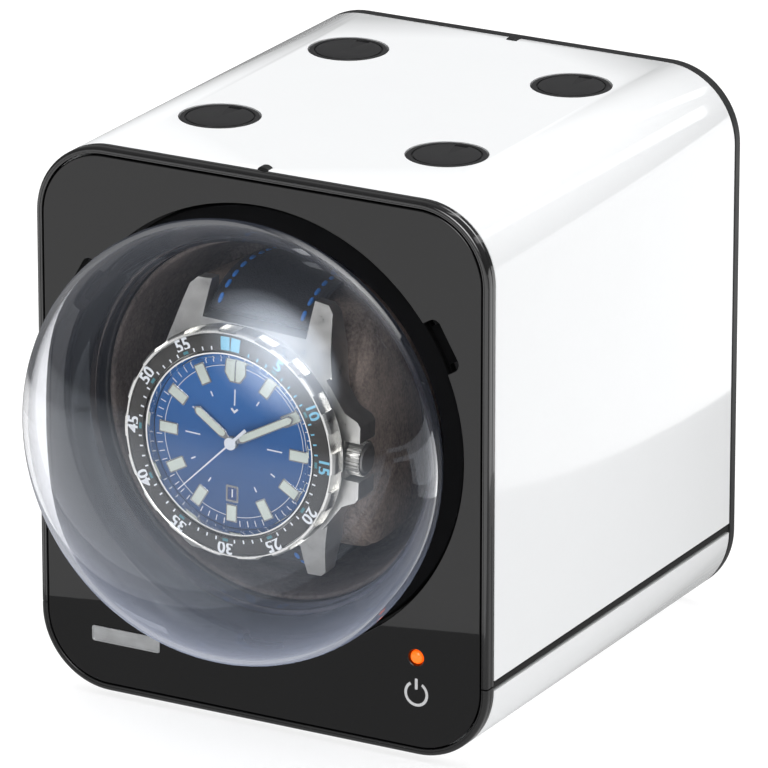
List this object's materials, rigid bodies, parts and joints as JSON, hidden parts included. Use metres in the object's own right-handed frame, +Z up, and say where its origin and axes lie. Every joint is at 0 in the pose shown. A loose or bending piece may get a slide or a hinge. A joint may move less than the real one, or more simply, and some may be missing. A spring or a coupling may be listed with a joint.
{
  "type": "watch winder box",
  "caption": "Free-standing winder box: a motor turns a velour-lined cup with a wristwatch on a cushion behind a clear bayonet dome.",
  "frame": {"origin": "on the ground under the middle of the whole object, dome included", "axes": "+Z up, the dome and front panel face -Y, +X to the right seen from the front; the winding axis runs along Y"},
  "size_m": [0.105, 0.1486, 0.1201],
  "materials": {
    "white_gloss": "high gloss",
    "black_gloss": "high gloss",
    "panel_gloss": "piano gloss",
    "black_plastic": "fine texture",
    "rubber": "matt",
    "clear": "polished",
    "velour": "velour pile",
    "nylon": "moulded",
    "steel": "brushed",
    "brass": "machined",
    "board_green": "solder mask",
    "led_orange": "lit lens",
    "dial_blue": "sunburst",
    "insert_grey": "satin",
    "strap_black": "matt",
    "hand_white": "satin"
  },
  "bodies": {
    "housing": {"upper_shell": "white_gloss", "base_tray": "white_gloss", "seam_gasket_left": "rubber", "seam_gasket_right": "rubber", "bezel_upper": "black_gloss", "bezel_lower": "black_gloss", "front_panel": "panel_gloss", "guide_plate": "black_plastic", "rear_panel": "black_plastic", "rear_screw_1": "steel", "rear_screw_2": "steel", "rear_screw_3": "steel", "rear_screw_4": "steel", "front_latch_tab": "black_plastic", "rear_latch_tab": "black_plastic", "foot_1": "rubber", "foot_2": "rubber", "foot_3": "rubber", "foot_4": "rubber", "axle_bearing": "brass", "drive_carrier": "black_plastic", "motor_bracket": "steel", "gear_motor": "steel", "front_board": "board_green", "status_led": "led_orange", "touch_pad": "brass", "main_board": "board_green", "dc_jack": "black_plastic", "direction_switch": "steel", "turns_switch": "steel"},
    "cover_ring": {"cover_seal_ring": "rubber"},
    "cover": {"dome_cover": "clear"},
    "rotor": {"rotor_cup": "black_plastic", "cup_lining": "velour", "watch_cushion": "velour", "rotor_axle": "steel", "axle_clip": "steel", "driven_gear": "nylon", "watch_case": "steel", "watch_dial": "dial_blue", "watch_crystal": "clear", "strap_upper": "strap_black", "strap_lower": "strap_black", "strap_buckle": "steel"},
    "motor_rotor": {"motor_shaft": "steel", "motor_pinion": "nylon"},
    "turning_bezel": {"watch_bezel": "steel", "bezel_insert": "insert_grey"},
    "hour": {"hour_hand": "hand_white"},
    "minute": {"minute_hand": "hand_white"},
    "second": {"second_hand": "hand_white"},
    "crown": {"watch_crown": "steel"},
    "plug_1": {"top_plug_1": "rubber"},
    "plug_2": {"top_plug_2": "rubber"},
    "plug_3": {"top_plug_3": "rubber"},
    "plug_4": {"top_plug_4": "rubber"},
    "direction": {"direction_knob": "black_plastic"},
    "turns": {"turns_knob": "black_plastic"}
  },
  "joints": [
    {"name": "rotor_spin", "type": "hinge", "parent": "housing", "child": "rotor", "pos_m": [0, -0.0362, 0.066], "axis": [0, -1, 0], "continuous": true},
    {"name": "pinion_spin", "type": "hinge", "parent": "housing", "child": "motor_rotor", "pos_m": [0, 0.0243, 0.0385], "axis": [0, -1, 0], "continuous": true},
    {"name": "cover_pull", "type": "slide", "parent": "housing", "child": "cover_ring", "axis": [0, -1, 0], "range_m": [0, 0.05]},
    {"name": "cover_turn", "type": "hinge", "parent": "cover_ring", "child": "cover", "pos_m": [0, -0.0362, 0.066], "axis": [0, -1, 0], "range_deg": [-24, 0]},
    {"name": "bezel_turn", "type": "hinge", "parent": "rotor", "child": "turning_bezel", "pos_m": [0, -0.0362, 0.066], "axis": [0, -1, 0], "continuous": true},
    {"name": "second_hand_turn", "type": "hinge", "parent": "rotor", "child": "second", "pos_m": [0, -0.0362, 0.066], "axis": [0, 1, 0], "continuous": true},
    {"name": "minute_hand_turn", "type": "hinge", "parent": "rotor", "child": "minute", "pos_m": [0, -0.0362, 0.066], "axis": [0, 1, 0], "continuous": true},
    {"name": "hour_hand_turn", "type": "hinge", "parent": "rotor", "child": "hour", "pos_m": [0, -0.0362, 0.066], "axis": [0, 1, 0], "continuous": true},
    {"name": "crown_turn", "type": "hinge", "parent": "rotor", "child": "crown", "pos_m": [0, -0.0404, 0.066], "axis": [0.9994, 0, -0.0349], "continuous": true},
    {"name": "plug_1_lift", "type": "slide", "parent": "housing", "child": "plug_1", "axis": [0, 0, 1], "range_m": [0, 0.012]},
    {"name": "plug_2_lift", "type": "slide", "parent": "housing", "child": "plug_2", "axis": [0, 0, 1], "range_m": [0, 0.012]},
    {"name": "plug_3_lift", "type": "slide", "parent": "housing", "child": "plug_3", "axis": [0, 0, 1], "range_m": [0, 0.012]},
    {"name": "plug_4_lift", "type": "slide", "parent": "housing", "child": "plug_4", "axis": [0, 0, 1], "range_m": [0, 0.012]},
    {"name": "direction_slide", "type": "slide", "parent": "housing", "child": "direction", "axis": [1, 0, 0], "range_m": [-0.003, 0.003]},
    {"name": "turns_slide", "type": "slide", "parent": "housing", "child": "turns", "axis": [1, 0, 0], "range_m": [-0.003, 0.003]}
  ],
  "couplings": [
    {"joint": "pinion_spin", "follows": "rotor_spin", "ratio": -4},
    {"joint": "minute_hand_turn", "follows": "second_hand_turn", "ratio": 0.016667},
    {"joint": "hour_hand_turn", "follows": "second_hand_turn", "ratio": 0.0013889}
  ]
}
